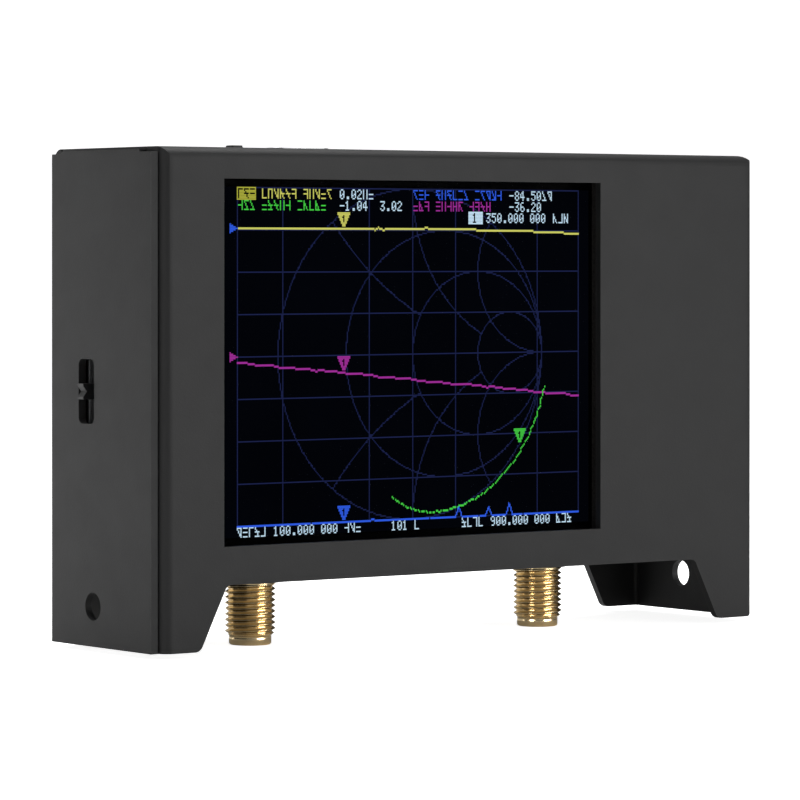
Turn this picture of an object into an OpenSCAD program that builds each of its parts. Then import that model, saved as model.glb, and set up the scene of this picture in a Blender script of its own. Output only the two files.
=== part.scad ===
// Handheld two-port vector network analyzer: a bent-sheet case around a board,
// a 2.8-inch touch screen, a pouch cell and two coaxial test ports.
//
// Frame: +Z is up with the ports pointing down, the screen faces -Y and +X is to
// the right of someone who reads the screen. The origin is the middle of the
// outer face of the back panel, so the whole case lies at negative Y.

/* [Case] */
// Width across the two side walls
case_w = 96; // [94:0.5:100]
// Height from the top wall to the tips of the ears
case_h = 61.5; // [61:0.5:64]
// Depth from the back face to the front face
case_d = 24.5; // [24:0.5:27]
// Thickness of the sheet steel
sheet_t = 1; // [0.8:0.1:1.1]
// Outer radius of every bend
bend_r = 1.5; // [1.3:0.1:2]
// Gap between the front cover's left flange and the left wall
cover_gap = 0.15; // [0.1:0.05:0.3]
// Depth of the front cover's left flange
flange_d = 6; // [4:0.5:6.5]
// Depth of the back cover's lip along its top and its right edge
lip_d = 1.6; // [1.6:0.1:3]

/* [Ears] */
// Height of the ears below the notch between them
ear_h = 8; // [6:0.5:8.5]
// Width of an ear at its tip
ear_tip_w = 6.5; // [5:0.5:8]
// Width of an ear at the notch
ear_root_w = 10.5; // [9:0.5:12]
// Diameter of the strap hole in each side wall
strap_hole_d = 3.5; // [2.5:0.1:4]
// Height of the strap holes above the ear tips
strap_hole_up = 4.95; // [3.5:0.05:5.5]
// Depth of the strap holes in front of the back face
strap_hole_y = 10.5; // [8:0.5:14]

/* [Screen] */
// Width of the window in the front panel
window_w = 59.4; // [58:0.2:60]
// Height of the window
window_h = 45; // [44:0.2:45.4]
// Middle of the window, left of the middle of the case
window_x = -8.3; // [-8.5:0.1:-8]
// Middle of the window, above the middle of the case
window_z = 4.4; // [4.2:0.1:4.6]
// Width of the lit area of the screen
screen_w = 57.6; // [56:0.2:58]
// Height of the lit area of the screen
screen_h = 43.2; // [42:0.2:43.6]
// How far the touch panel sits behind the front face
screen_recess = 2; // [1.6:0.1:2.2]

/* [Ports] */
// Left port, from the middle of the case
port_1_x = -26; // [-27:0.5:-24]
// Right port, from the middle of the case
port_2_x = 20.2; // [19:0.2:22]
// Port axes, in front of the back face
port_y = 12.8; // [12.6:0.1:13]
// How far the ports reach past the ear tips
port_reach = 0.65; // [0:0.05:2]
// Outside diameter of the port thread, 1/4-36 UNS
port_thread_d = 6.35; // [6.35]
// Width of the port nuts across their flats
port_nut_af = 8; // [8:0.1:8.5]

/* [Fasteners] */
// Distance between the screw columns
screw_pitch_x = 76; // [75.6:0.2:76.4]
// Distance between the screw rows
screw_pitch_z = 44; // [43.6:0.2:44.2]
// Middle of the screw pattern, from the middle of the case
screw_mid_x = -5.5; // [-5.8:0.1:-5.2]
// Upper screw row, below the top of the case
screw_top_in = 3.75; // [3.7:0.05:4]
// Diameter of a countersunk screw head
screw_head_d = 5.5; // [5.2:0.1:5.6]
// Nominal thread of the screws and standoffs
screw_d = 3; // [3]

/* [Controls] */
// Height of the jog slot in the left wall
jog_slot_h = 8; // [7:0.5:8.5]
// Width of the jog slot
jog_slot_w = 3.5; // [3.2:0.1:3.8]
// Middle of the jog slot, above the middle of the case
jog_z = 0.7; // [0:0.1:1]
// How far the jog lever stands out of the left wall
jog_reach = 0.85; // [0.6:0.05:1.5]
// Inward travel of the jog lever when it is pressed
jog_press = 0.35; // [0.2:0.05:0.4]
// Power knob in its rest place, from the middle of the case
power_x = -25.8; // [-26:0.1:-25.6]
// Travel of the power knob
power_travel = 2; // [1.5:0.1:2]
// USB socket, from the middle of the case
usb_x = -16.1; // [-16.2:0.1:-15]

/* [Hidden] */
$fn = 64;
EPS = 0.05;

left_x = -case_w / 2;
right_x = case_w / 2;
top_z = case_h / 2;
bottom_z = -case_h / 2;
front_y = -case_d;
notch_z = bottom_z + ear_h;
ear_tip_r = 1.2;
ear_root_r = 1;
corner_steps = 10;

front_left_x = left_x + sheet_t + cover_gap;
front_corner_r = 2;
back_corner_r = 1.2;
side_setback = 1.1;
wall_drop = 0.35;
corner_relief_l = 3.2;
corner_relief_h = 0.65;
wall_notch_l = 3.65;
wall_notch_h = 0.65;
seam_gap = 0.15;
opening_rear_y = -0.45;

// Stack of layers, from the front face to the back face
touch_t = 1.1;
cell_t = 1.4;
backlight_t = 1.8;
board_t = 1.6;
touch_y = front_y + screen_recess;
cell_y = touch_y + touch_t;
backlight_y = cell_y + cell_t;
module_back_y = backlight_y + backlight_t;
contact_tail_r = 0.4;
board_front_y = -port_y + contact_tail_r;
board_back_y = board_front_y + board_t;
panel_in_y = front_y + sheet_t;
back_in_y = -sheet_t;

// Screen module: its margins around the lit area, wider on the ribbon's side
screen_x = window_x + 0.9;
screen_z = window_z - 0.05;
module_margin = 2.9;
module_ribbon_margin = 8.7;
module_w = screen_w + module_margin + module_ribbon_margin;
module_h = screen_h + 6.4;
module_left = screen_x - screen_w / 2 - module_margin;
module_bottom = screen_z - module_h / 2;

// Port plate and ports
plate_out_z = notch_z + 1.1;
plate_in_z = plate_out_z + sheet_t;
port_end_z = bottom_z - port_reach;
port_plain_l = 1.1;
port_washer_t = 0.3;
port_nut_t = 1.6;
port_nut_z = plate_out_z - port_washer_t - port_nut_t;
port_thread_r = port_thread_d / 2;
port_relief_r = port_thread_r - 0.225;
port_bore_r = 2.05;
port_mouth_r = 2.3;
port_mouth_l = 1.9;
port_flange_t = 2.05;
port_flange_z = plate_in_z + port_flange_t;
insulator_r = port_bore_r - 0.02;
contact_r = 0.635;

// Board outline
board_left = left_x + 1.8;
board_right = 36.5;
board_top = top_z - sheet_t - 0.5;
board_bottom = plate_in_z + 0.45;

// Screws and standoffs
screw_xs = [screw_mid_x - screw_pitch_x / 2, screw_mid_x + screw_pitch_x / 2];
screw_zs = [top_z - screw_top_in, top_z - screw_top_in - screw_pitch_z];
screw_sink_r = screw_head_d / 2 + 0.08;
tapped_r = screw_d / 2;
stud_r = tapped_r - 0.03;
screw_turns = [17, 58, 71, 34];

// Light holes along the left edge of the back panel
led_hole_r = 1.55;
led_hole_x = left_x + 2.7;
led_hole_drops = [9.1, 16, 23.1, 37.6];
led_x = led_hole_x + 0.4;
led_drop = 0.5;

// Jog switch: the lever turns on a pin in a carrier that slides in the body
jog_y = board_back_y + 1.8;
jog_body_l = 5.6;
jog_body_h = 9;
jog_body_t = 3.6;
jog_body_x = left_x + 1.9;
jog_room_l = 4.6;
jog_room_h = 7.2;
jog_room_t = 2.4;
jog_pivot_x = left_x + 4.2;
jog_pin_r = 0.4;
jog_hub_r = 0.9;
jog_hub_t = 1.2;
jog_head_h = 1.95;
jog_head_t = 1.3;
jog_tip_x = left_x - jog_reach;
jog_notch_l = 0.52;
jog_prong_h = 0.3;
jog_slot_r = 0.8;

// Power switch
power_y = board_back_y + 1.8;
power_mid_x = power_x - power_travel / 2;
power_body_w = 8.6;
power_body_h = 3.7;
power_body_t = 3.6;
power_body_z = board_top - power_body_h;
power_knob_w = 1.6;
power_base_w = 4;
power_base_h = 1;
power_base_t = 2.4;
power_base_z = power_body_z + 0.9;
power_knob_rise = 0.65;
power_knob_top = top_z + power_knob_rise;
power_channel_w = 1.9;

// USB socket
usb_w = 8.94;
usb_t = 3.16;
usb_l = 7.6;
usb_wall = 0.3;
usb_rise = 0.45;
usb_top = top_z + usb_rise;
usb_y = board_back_y + usb_t / 2;
usb_opening_w = 11.3;

// Label on the back
label_w = 40;
label_h = 29.4;
label_r = 2.1;
label_t = 0.15;
label_x = -1;
label_z = 1.2;

// Battery
cell_w = 50;
cell_h = 34;
cell_deep = 5.5;
cell_x = -2;
cell_z = 1;
pad_t = 0.5;
cell_back_y = back_in_y - pad_t;
socket_x = 27;
socket_z = 8;

// Radio parts on the front of the board: [x, z, width, height]
shield_cans = [[-26, -3, 20, 20], [12, -3, 16, 20]];
can_h = 3.2;
can_t = 0.3;

// ---- Shared shapes -----------------------------------------------------------

// Extrudes a shape drawn in X and Z from y0 forwards, towards -Y
module slab(y0, depth) {
    translate([0, y0, 0]) rotate([90, 0, 0]) linear_extrude(depth) children();
}

// Extrudes a shape drawn in Y and Z along X, from x0 to x0 + length
module bar(x0, length) {
    translate([x0, 0, 0]) rotate([90, 0, 90]) linear_extrude(length) children();
}

// Box given by its lowest and its highest corner
module block(low, high) {
    translate(low) cube(high - low);
}

// Rectangle about the origin with true arcs at its corners
module rounded_rect(w, h, r) {
    square([w - 2 * r, h], center = true);
    square([w, h - 2 * r], center = true);
    for (sx = [-1, 1], sz = [-1, 1]) {
        translate([sx * (w / 2 - r), sz * (h / 2 - r)]) circle(r);
    }
}

// What an arc of radius r takes off a square corner; the corner is at the origin
// and the body lies towards -X and -Y
module corner_sliver(r) {
    difference() {
        translate([-r, -r]) square(r + EPS);
        translate([-r, -r]) circle(r);
    }
}

// Solid outline of a cover whose panel faces +Y at y = 0. Its upright edges and its
// top edge have the radius r, the corner between its right and top walls corner_r
module cover_solid(x0, x1, low, top, depth, r, corner_r) {
    intersection() {
        translate([0, 0, low]) linear_extrude(top - low) difference() {
            translate([x0, -depth]) square([x1 - x0, depth]);
            translate([x1, 0]) corner_sliver(r);
            translate([x0, 0]) mirror([1, 0]) corner_sliver(r);
        }
        bar(x0 - 1, x1 - x0 + 2) difference() {
            translate([-depth - 1, low]) square([depth + 2, top - low]);
            translate([0, top]) corner_sliver(r);
        }
        slab(1, depth + 2) difference() {
            translate([x0 - 1, low]) square([x1 - x0 + 1, top - low]);
            translate([x1, top]) corner_sliver(corner_r);
        }
    }
}

// Folded sheet with a panel at y = 0, a wall on each side and a top wall
module cover_shell(x0, x1, depth, corner_r) {
    inner_r = bend_r - sheet_t;
    inner_corner_r = corner_r - sheet_t;
    inner_top = top_z - sheet_t;
    difference() {
        cover_solid(x0, x1, bottom_z, top_z, depth, bend_r, corner_r);
        translate([0, -sheet_t, 0]) cover_solid(
            x0 + sheet_t, x1 - sheet_t, bottom_z - 1, inner_top, depth, inner_r, inner_corner_r
        );
    }
}

// Points of the arc of radius r that rounds the corner p between points a and b
function rounded_corner(a, p, b, r) =
    let (
        u = (a - p) / norm(a - p),
        v = (b - p) / norm(b - p),
        half = acos(u * v) / 2,
        middle = p + (u + v) / norm(u + v) * r / sin(half),
        from = p + u * r / tan(half) - middle,
        to = p + v * r / tan(half) - middle,
        start = atan2(from[1], from[0]),
        turn = atan2(from[0] * to[1] - from[1] * to[0], from * to)
    )
    [for (i = [0:corner_steps])
        middle + r * [cos(start + turn * i / corner_steps), sin(start + turn * i / corner_steps)]];

// Area below the case outline: the notch between the ears and the space under them
module below_outline(half_w) {
    tip = half_w - ear_tip_w;
    root = half_w - ear_root_w;
    under = bottom_z - 2;
    far = tip + 2;
    polygon(concat(
        [[-far, under], [-far, bottom_z]],
        rounded_corner([-far, bottom_z], [-tip, bottom_z], [-root, notch_z], ear_tip_r),
        rounded_corner([-tip, bottom_z], [-root, notch_z], [root, notch_z], ear_root_r),
        rounded_corner([-root, notch_z], [root, notch_z], [tip, bottom_z], ear_root_r),
        rounded_corner([root, notch_z], [tip, bottom_z], [far, bottom_z], ear_tip_r),
        [[far, bottom_z], [far, under]]
    ));
}

// Hexagon given by its width across the flats
module hexagon(af) {
    circle(af / sqrt(3), $fn = 6);
}

// Places the children at each of the four screws, with $i as the screw's number
module at_screws() {
    for (ix = [0, 1], iz = [0, 1]) {
        $i = 2 * ix + iz;
        translate([screw_xs[ix], 0, screw_zs[iz]]) children();
    }
}

// Cylinder along Y, from y0 forwards, towards -Y
module rod_y(y0, length, r) {
    translate([0, y0, 0]) rotate([90, 0, 0]) cylinder(h = length, r = r);
}

// Cone along Y, from y0 forwards, with its radius at each end
module cone_y(y0, length, r_back, r_front) {
    translate([0, y0, 0]) rotate([90, 0, 0]) cylinder(h = length, r1 = r_back, r2 = r_front);
}

// Places the children on both port axes
module at_ports() {
    for (x = [port_1_x, port_2_x]) {
        translate([x, -port_y, 0]) children();
    }
}

// ---- Case --------------------------------------------------------------------

// Front panel with the top wall, the right wall and a left flange that lies inside
// the left wall
module front_cover() {
    bend_end_r = 1.3;
    color("#333333")
    difference() {
        translate([0, front_y, 0]) mirror([0, 1, 0])
            cover_shell(front_left_x, right_x, case_d - lip_d - seam_gap, front_corner_r);
        block(
            [front_left_x - 1, front_y + flange_d, bottom_z - 1],
            [front_left_x + sheet_t + EPS, 0, top_z - sheet_t]
        );
        slab(front_y + 2 * sheet_t, 4 * sheet_t) below_outline(case_w / 2);
        slab(front_y + 2 * sheet_t, 4 * sheet_t)
            translate([window_x, window_z]) square([window_w, window_h], center = true);
        // Rounded lower end of the right bend
        slab(front_y + bend_r, bend_r + 1)
            translate([right_x, bottom_z]) mirror([0, 1]) corner_sliver(bend_end_r);
        strap_hole(right_x);
        power_opening();
        usb_opening();
    }
}

// Round hole low in a side wall
module strap_hole(wall_x) {
    translate([wall_x, -strap_hole_y, bottom_z + strap_hole_up])
        rotate([0, 90, 0]) cylinder(h = 4 * sheet_t, d = strap_hole_d, center = true);
}

// Slot for the power knob, with the channel that lets it in from the rear
module power_opening() {
    slot_half_w = (power_travel + power_knob_w) / 2 + 0.2;
    slot_half_t = power_knob_w / 2 + 0.25;
    block(
        [power_mid_x - slot_half_w, power_y - slot_half_t, top_z - 2 * sheet_t],
        [power_mid_x + slot_half_w, power_y + slot_half_t, top_z + 1]
    );
    block(
        [power_x - power_channel_w / 2, power_y, top_z - 2 * sheet_t],
        [power_x + power_channel_w / 2, opening_rear_y, top_z + 1]
    );
}

// Opening around the USB socket, carried on to the rear
module usb_opening() {
    block(
        [usb_x - usb_opening_w / 2, board_back_y - 0.4, top_z - 2 * sheet_t],
        [usb_x + usb_opening_w / 2, opening_rear_y, top_z + 1]
    );
}

// Back panel with the left wall and a short lip along the top and the right edge
module back_cover() {
    wall_d = case_d - side_setback;
    wall_in_x = left_x + sheet_t;
    color("#333333")
    difference() {
        cover_shell(left_x, right_x, wall_d, back_corner_r);
        block([wall_in_x, -case_d, bottom_z - 1], [right_x + 1, -lip_d, top_z + 1]);
        slab(1, 2 * sheet_t + 1) below_outline(case_w / 2);
        // Left wall a little lower than the top, with a relief at its rear corner
        // and a notch at its front corner
        block([left_x - 1, -case_d, top_z - wall_drop], [wall_in_x + EPS, 1, top_z + 1]);
        block(
            [left_x - 1, -corner_relief_l, top_z - corner_relief_h],
            [wall_in_x + EPS, 1, top_z + 1]
        );
        block(
            [left_x - 1, -case_d, top_z - wall_notch_h],
            [wall_in_x + EPS, front_y + wall_notch_l, top_z + 1]
        );
        // Gap between the lip and the left wall
        block(
            [wall_in_x, -lip_d - 1, top_z - 2 * sheet_t],
            [wall_in_x + 2 * EPS, -bend_r, top_z + 1]
        );
        at_screws() cone_y(EPS, sheet_t + 2 * EPS, screw_sink_r + EPS, screw_sink_r - sheet_t - EPS);
        for (drop = led_hole_drops) {
            translate([led_hole_x, 0, top_z - drop]) rod_y(1, sheet_t + 2, led_hole_r);
        }
        jog_slot();
        strap_hole(left_x);
        power_opening();
        usb_opening();
        slab(label_t, 2 * label_t) translate([label_x, label_z])
            rounded_rect(label_w + 0.4, label_h + 0.4, label_r + 0.2);
    }
}

// Slot with round corners in the left wall, for the jog lever
module jog_slot() {
    bar(left_x - 1, sheet_t + 2) translate([jog_y, jog_z])
        rounded_rect(jog_slot_w, jog_slot_h, jog_slot_r);
}

// Flat plate between the covers that the port nuts clamp, cut back beside the
// front cover's left flange
module port_plate() {
    slack = 0.2;
    plate_left_x = left_x + sheet_t + slack;
    plate_right_x = right_x - sheet_t - slack;
    flange_in_x = front_left_x + sheet_t + slack;
    color("#333333")
    difference() {
        block(
            [plate_left_x, panel_in_y + slack, plate_out_z],
            [plate_right_x, back_in_y - slack, plate_in_z]
        );
        block(
            [plate_left_x - 1, front_y, plate_out_z - 1],
            [flange_in_x, front_y + flange_d + slack, plate_in_z + 1]
        );
        at_ports() translate([0, 0, plate_out_z - 1])
            cylinder(h = sheet_t + 2, r = port_thread_r + 0.15);
    }
}

// Four countersunk cross-recess screws, flush with the back panel
module back_screws() {
    head_r = screw_head_d / 2;
    cone_l = head_r - stud_r;
    screw_l = 6.5;
    color("#1c1c1c")
    at_screws() difference() {
        union() {
            cone_y(0, cone_l, head_r, stud_r);
            rod_y(-cone_l, screw_l - cone_l, stud_r);
        }
        rotate([0, screw_turns[$i], 0]) for (turn = [0, 90]) {
            rotate([0, turn, 0]) block([-1.45, -1.1, -0.35], [1.45, 1, 0.35]);
        }
    }
}

// Round self-clinching standoffs between the front panel and the board, each with
// a slimmer foot that clears the bends of the front cover
module front_standoffs() {
    length = board_front_y - panel_in_y;
    foot_l = 0.8;
    foot_r = 1.8;
    barrel_r = 2.2;
    tapped_l = 8;
    color("#b9bcc0")
    at_screws() difference() {
        union() {
            rod_y(board_front_y, length - foot_l, barrel_r);
            rod_y(board_front_y - 1, length - 1, foot_r);
        }
        rod_y(board_front_y + EPS, tapped_l, tapped_r);
    }
}

// Hexagonal standoffs between the board and the back panel, each with a stud that
// passes through the board into a front standoff
module rear_standoffs() {
    stud_l = board_t + 5;
    across_flats = 4.5;
    tapped_l = 6.2;
    chamfer = screw_sink_r - sheet_t - tapped_r;
    color("#c8a24a")
    at_screws() difference() {
        union() {
            slab(back_in_y, back_in_y - board_back_y) hexagon(across_flats);
            rod_y(board_back_y + 1, stud_l + 1, stud_r);
        }
        rod_y(back_in_y + EPS, tapped_l, tapped_r);
        cone_y(back_in_y + EPS, chamfer + EPS, tapped_r + chamfer + EPS, tapped_r);
    }
}

// ---- Screen ------------------------------------------------------------------

// Foam frame that closes the gap between the front panel and the touch panel
module window_gasket() {
    rim = 2.2;
    inset = 0.1;
    color("#1f1c1a")
    slab(touch_y, touch_y - panel_in_y) translate([window_x, window_z]) difference() {
        square([window_w + 2 * (inset + rim), window_h + 2 * (inset + rim) - 1.2], center = true);
        square([window_w + 2 * inset, window_h + inset], center = true);
    }
}

// Resistive touch panel in front of the screen
module touch_panel() {
    color([0.2, 0.22, 0.24, 0.35])
    block(
        [module_left + 0.2, touch_y, module_bottom + 0.1],
        [module_left + module_w - 0.4, cell_y, module_bottom + module_h - 0.1]
    );
}

// Liquid crystal glass of the screen
module lcd_panel() {
    color("#050507")
    block(
        [module_left + 0.6, cell_y, module_bottom + 0.5],
        [module_left + module_w - 2.6, backlight_y, module_bottom + module_h - 0.5]
    );
}

// Moulded frame and light guide behind the glass
module backlight_frame() {
    floor_t = 1.2;
    color("#d9dadb")
    difference() {
        block(
            [module_left, backlight_y - 0.9, module_bottom],
            [module_left + module_w, module_back_y, module_bottom + module_h]
        );
        block(
            [module_left + 0.5, backlight_y - 1, module_bottom + 0.4],
            [module_left + module_w - 2.5, backlight_y, module_bottom + module_h - 0.4]
        );
        block(
            [module_left + module_w - 2.5, backlight_y - 1, screen_z - 10],
            [module_left + module_w + 1, module_back_y - floor_t, screen_z + 10]
        );
    }
}

// Ribbon that leaves the right end of the screen and turns back to the board
module lcd_flex() {
    ribbon_t = 0.2;
    ribbon_w = 18;
    leave_y = backlight_y - 0.4;
    land_y = board_front_y - ribbon_t;
    loop_r = (land_y + ribbon_t - leave_y) / 2;
    start_x = module_left + module_w - 2.4;
    turn_x = module_left + module_w + 0.3;
    land_x = 22;
    color("#b0702a")
    translate([0, 0, screen_z - ribbon_w / 2]) linear_extrude(ribbon_w) {
        translate([start_x, leave_y]) square([turn_x - start_x, ribbon_t]);
        translate([land_x, land_y]) square([turn_x - land_x, ribbon_t]);
        translate([turn_x, leave_y + loop_r]) intersection() {
            difference() {
                circle(loop_r);
                circle(loop_r - ribbon_t);
            }
            translate([0, -loop_r - 1]) square([loop_r + 1, 2 * loop_r + 2]);
        }
    }
}

// Foam pads that hold the screen off the shield cans
module screen_pads() {
    color("#3a3a3c")
    for (can = shield_cans) {
        block(
            [can[0] - can[2] / 2 + 2, module_back_y, can[1] - can[3] / 2 + 2],
            [can[0] + can[2] / 2 - 2, board_front_y - can_h, can[1] + can[3] / 2 - 2]
        );
    }
}

// ---- Board -------------------------------------------------------------------

// Circuit board, notched at its lower edge for the two port flanges
module main_board() {
    port_notch_w = 7;
    color("#1d2a3a")
    difference() {
        block([board_left, board_front_y, board_bottom], [board_right, board_back_y, board_top]);
        at_screws() rod_y(board_back_y + 1, board_t + 2, tapped_r + 0.1);
        for (x = [port_1_x, port_2_x]) {
            block(
                [x - port_notch_w / 2, board_front_y - 1, board_bottom - 1],
                [x + port_notch_w / 2, board_back_y + 1, port_flange_z]
            );
        }
    }
}

// Open-bottomed tinned cans over the radio circuits
module rf_shield_cans() {
    color("#b4b6b8")
    for (can = shield_cans) {
        difference() {
            block(
                [can[0] - can[2] / 2, board_front_y - can_h, can[1] - can[3] / 2],
                [can[0] + can[2] / 2, board_front_y, can[1] + can[3] / 2]
            );
            block(
                [can[0] - can[2] / 2 + can_t, board_front_y - can_h + can_t, can[1] - can[3] / 2 + can_t],
                [can[0] + can[2] / 2 - can_t, board_front_y + 1, can[1] + can[3] / 2 - can_t]
            );
        }
    }
}

// Flat chip on one face of the board; side is -1 for the front and 1 for the back
module chip(x, z, w, h, t, side) {
    face = side < 0 ? board_front_y - t : board_back_y;
    block([x - w / 2, face, z - h / 2], [x + w / 2, face + t, z + h / 2]);
}

// Mixers, synthesizers and switches under the cans
module rf_chips() {
    color("#242426")
    for (can = shield_cans, place = [[-4, 5, 4], [3, -4, 5], [4, 5, 3]]) {
        chip(can[0] + place[0], can[1] + place[1], place[2], place[2], 0.9, -1);
    }
}

// Processor on the back of the board
module processor_chip() {
    color("#1f1f21") chip(4, 4, 10, 10, 1.4, 1);
}

// Memory, charger and regulators on the back of the board
module support_chips() {
    color("#1f1f21")
    for (place = [[-12, 10, 5, 4, 1.5], [-8, -8, 6, 6, 0.9], [16, 16, 4, 4, 0.9], [22, -6, 5, 4, 1.5]]) {
        chip(place[0], place[1], place[2], place[3], place[4], 1);
    }
}

// Metal-cased reference oscillator
module clock_crystal() {
    color("#c9cbce") chip(-14, -2, 5, 3.2, 1.1, 1);
}

// ---- Ports -------------------------------------------------------------------

// Threaded shell of a coaxial port, with the flange and the four legs that grip
// the board. The thread stands at its outside diameter below the nut and narrows
// to its root inside the nut and the plate
module port_body(x) {
    leg_l = 3.8;
    leg_w = 1;
    leg_t = 1;
    flange_half = 3.175;
    free_z = port_nut_z - 0.1;
    plain_z = port_end_z + port_plain_l;
    color("#b08a45")
    translate([x, -port_y, 0]) {
        difference() {
            union() {
                translate([0, 0, port_end_z]) cylinder(h = port_plain_l, r = 2.68);
                translate([0, 0, plain_z]) cylinder(h = free_z - plain_z, r = port_thread_r);
                translate([0, 0, free_z]) cylinder(h = plate_in_z - free_z, r = port_relief_r);
                block(
                    [-flange_half, -flange_half, plate_in_z],
                    [flange_half, flange_half, port_flange_z]
                );
            }
            translate([0, 0, port_end_z - 1]) cylinder(h = port_flange_z - port_end_z + 2, r = port_bore_r);
            translate([0, 0, port_end_z - 1]) cylinder(h = port_mouth_l + 1, r = port_mouth_r);
        }
        for (s = [-1, 1]) {
            leg_x = s * (flange_half - leg_w / 2);
            for (y = [contact_tail_r - leg_t, contact_tail_r + board_t]) {
                block(
                    [leg_x - leg_w / 2, y, port_flange_z - EPS],
                    [leg_x + leg_w / 2, y + leg_t, port_flange_z + leg_l]
                );
            }
        }
    }
}

// Left port's shell
module port_1_body() {
    port_body(port_1_x);
}

// Right port's shell
module port_2_body() {
    port_body(port_2_x);
}

// White insulators inside the shells
module port_insulators() {
    color("#efece2")
    at_ports() difference() {
        translate([0, 0, port_end_z + port_mouth_l])
            cylinder(h = port_flange_z - port_end_z - port_mouth_l, r = insulator_r);
        translate([0, 0, port_end_z]) cylinder(h = case_h / 2, r = contact_r + 0.015);
    }
}

// Centre contacts: a socket at the mouth and a tail that lies on the board
module port_contacts() {
    tail_l = 3;
    socket_r = 0.47;
    socket_l = 3;
    face_z = port_end_z + port_mouth_l;
    color("#d8b45a")
    at_ports() difference() {
        union() {
            translate([0, 0, face_z]) cylinder(h = port_flange_z - face_z - 0.2, r = contact_r);
            translate([0, 0, port_flange_z - 0.3]) cylinder(h = tail_l, r = contact_tail_r - 0.01);
        }
        translate([0, 0, face_z - 1]) cylinder(h = socket_l + 1, r = socket_r);
    }
}

// Hexagonal nuts that clamp the port plate
module port_nuts() {
    color("#222222")
    at_ports() translate([0, 0, port_nut_z]) difference() {
        rotate([0, 0, 12]) linear_extrude(port_nut_t) hexagon(port_nut_af);
        translate([0, 0, -1]) cylinder(h = port_nut_t + 2, r = port_relief_r + 0.025);
    }
}

// Lock washers under the nuts
module port_washers() {
    color("#2c2c2e")
    at_ports() translate([0, 0, plate_out_z - port_washer_t]) difference() {
        cylinder(h = port_washer_t, r = 4.5);
        translate([0, 0, -1]) cylinder(h = port_washer_t + 2, r = port_thread_r + 0.1);
    }
}

// ---- Controls ----------------------------------------------------------------

// Housing of the jog switch, open towards the slot in the left wall
module jog_switch_body() {
    color("#141416")
    difference() {
        block(
            [jog_body_x, board_back_y, jog_z - jog_body_h / 2],
            [jog_body_x + jog_body_l, board_back_y + jog_body_t, jog_z + jog_body_h / 2]
        );
        block(
            [jog_body_x - 1, jog_y - jog_room_t / 2, jog_z - jog_room_h / 2],
            [jog_body_x + jog_room_l, jog_y + jog_room_t / 2, jog_z + jog_room_h / 2]
        );
    }
}

// Sliding fork that carries the lever and presses the push contact
module jog_carrier() {
    fork_h = 3.2;
    fork_t = jog_room_t - 0.1;
    hub_gap = jog_hub_t / 2 + 0.05;
    web_x = jog_pivot_x + jog_hub_r + 0.1;
    back_x = jog_body_x + jog_room_l - jog_press - 0.15;
    color("#2a2a2d")
    difference() {
        block(
            [jog_pivot_x - 1.4, jog_y - fork_t / 2, jog_z - fork_h / 2],
            [back_x, jog_y + fork_t / 2, jog_z + fork_h / 2]
        );
        block(
            [jog_pivot_x - 2, jog_y - hub_gap, jog_z - fork_h],
            [web_x, jog_y + hub_gap, jog_z + fork_h]
        );
        translate([jog_pivot_x, 0, jog_z]) rod_y(0, case_d, jog_pin_r + 0.01);
    }
}

// Pin on which the lever turns
module jog_pin() {
    color("#a9abae")
    translate([jog_pivot_x, 0, jog_z])
        rod_y(jog_y + jog_room_t / 2 - 0.1, jog_room_t - 0.2, jog_pin_r);
}

// Lever whose head stands out of the left wall and has a notch across its end
module jog_lever() {
    neck_h = 1.3;
    head_l = 2.3;
    head_x = jog_tip_x + head_l;
    head_half = jog_head_h / 2;
    color("#101012")
    difference() {
        union() {
            translate([jog_pivot_x, 0, jog_z]) rod_y(jog_y + jog_hub_t / 2, jog_hub_t, jog_hub_r);
            block(
                [head_x - EPS, jog_y - jog_hub_t / 2, jog_z - neck_h / 2],
                [jog_pivot_x, jog_y + jog_hub_t / 2, jog_z + neck_h / 2]
            );
            slab(jog_y + jog_head_t / 2, jog_head_t) translate([0, jog_z]) polygon([
                [head_x, -neck_h / 2], [head_x, neck_h / 2], [head_x - 0.5, head_half],
                [jog_tip_x, head_half], [jog_tip_x, head_half - jog_prong_h],
                [jog_tip_x + jog_notch_l, 0], [jog_tip_x, jog_prong_h - head_half],
                [jog_tip_x, -head_half], [head_x - 0.5, -head_half]
            ]);
        }
        translate([jog_pivot_x, 0, jog_z]) rod_y(0, case_d, jog_pin_r + 0.05);
    }
}

// Housing of the power slide switch
module power_switch_body() {
    room_half = power_base_w / 2 + power_travel / 2 + 0.1;
    stem_half = power_knob_w / 2 + power_travel / 2 + 0.1;
    color("#8d9094")
    difference() {
        block(
            [power_mid_x - power_body_w / 2, board_back_y, power_body_z],
            [power_mid_x + power_body_w / 2, board_back_y + power_body_t, power_body_z + power_body_h]
        );
        block(
            [power_mid_x - room_half, power_y - power_base_t / 2 - 0.05, power_base_z - 0.05],
            [power_mid_x + room_half, power_y + power_base_t / 2 + 0.05, power_base_z + power_base_h + 0.05]
        );
        block(
            [power_mid_x - stem_half, power_y - power_knob_w / 2 - 0.05, power_base_z],
            [power_mid_x + stem_half, power_y + power_knob_w / 2 + 0.05, top_z + 1]
        );
    }
}

// Sliding power knob, drawn at the right-hand end of its travel
module power_switch_knob() {
    half = power_knob_w / 2;
    color("#161618") {
        block(
            [power_x - power_base_w / 2, power_y - power_base_t / 2, power_base_z],
            [power_x + power_base_w / 2, power_y + power_base_t / 2, power_base_z + power_base_h]
        );
        block(
            [power_x - half, power_y - half, power_base_z],
            [power_x + half, power_y + half, power_knob_top]
        );
    }
}

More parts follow.
